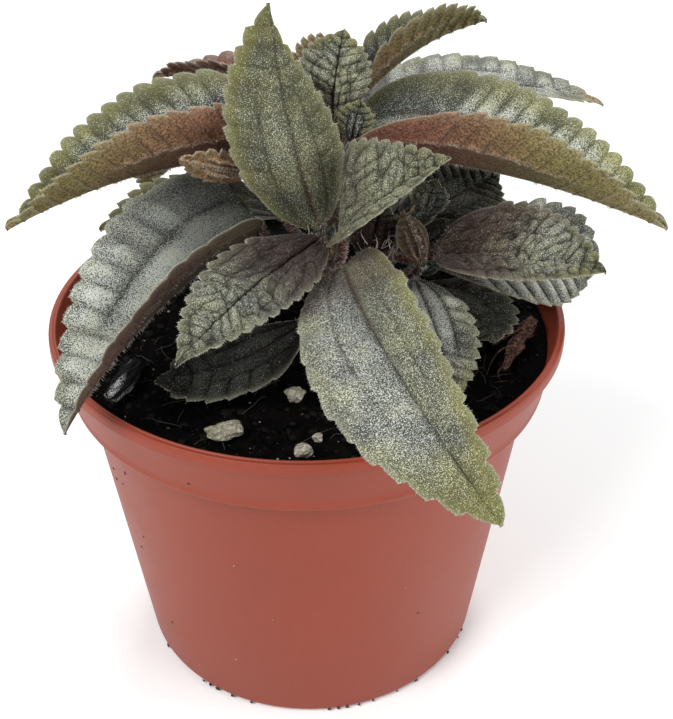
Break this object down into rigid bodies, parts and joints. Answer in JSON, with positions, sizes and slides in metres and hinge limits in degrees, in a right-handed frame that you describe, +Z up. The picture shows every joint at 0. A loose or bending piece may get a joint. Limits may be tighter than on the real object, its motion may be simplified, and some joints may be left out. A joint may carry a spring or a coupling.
{
  "type": "potted patterned foliage plant",
  "caption": "Bushy potted foliage plant: silvery, quilted, toothed pointed leaves with red-brown undersides, on short stems in a round terracotta-coloured plastic nursery pot.",
  "frame": {"origin": "middle of the pot's base, where it stands", "axes": "+Z up; +Y away from the side that the picture shows; +X to the right in the picture"},
  "size_m": [0.1435, 0.1494, 0.1641],
  "materials": {
    "pot_plastic": "moulded terracotta-coloured plastic, satin, lightly scuffed",
    "potting_mix": "damp near-black peat and bark mix",
    "stem": "purple-brown herbaceous stem with fine hairs",
    "leaf_silver": "quilted leaf, silvery above with an olive edge, red-brown below, fine pale hairs",
    "leaf_green": "olive-green leaf, brown-green below, fine pale hairs",
    "leaf_young": "young puckered leaf, grey-green with purple-brown valleys",
    "leaf_dark": "dark shaded green leaf with a silvery sheen",
    "leaf_red": "young red-brown leaf with fine pale hairs",
    "perlite": "rough off-white expanded mineral grain",
    "bark": "weathered dark bark with grey flecks",
    "withered": "dry wrinkled red-brown plant tissue"
  },
  "bodies": {
    "root": {"pot": "pot_plastic", "soil": "potting_mix", "stem_front": "stem", "stem_back": "stem", "stem_side": "stem", "leaf_front_upright": "leaf_silver", "leaf_front_right": "leaf_young", "leaf_front_left": "leaf_young", "leaf_over_front_rim": "leaf_silver", "leaf_over_left_rim": "leaf_silver", "leaf_low_dark": "leaf_dark", "leaf_back_right": "leaf_silver", "leaf_back_left": "leaf_silver", "leaf_rear_right_high": "leaf_silver", "leaf_rear_left_high": "leaf_red", "leaf_top_right": "leaf_green", "leaf_top_left": "leaf_red", "leaf_top_young": "leaf_young", "leaf_top_bud": "leaf_green", "leaf_rear_middle": "leaf_silver", "leaf_rear_left_low": "leaf_silver", "leaf_left_under": "leaf_green", "leaf_left_small": "leaf_red", "leaf_side_broad": "leaf_young", "leaf_side_under": "leaf_silver", "leaf_side_narrow": "leaf_silver", "leaf_side_low": "leaf_dark", "leaf_side_rear": "leaf_dark", "leaf_side_bud": "leaf_dark", "leaf_side_folded": "leaf_red", "leaf_side_middle": "leaf_dark", "leaf_rear_right_low": "leaf_silver", "perlite_front": "perlite", "perlite_middle": "perlite", "perlite_left": "perlite", "perlite_edge": "perlite", "perlite_small": "perlite", "bark_chip": "bark", "withered_stalk": "withered"}
  },
  "joints": []
}
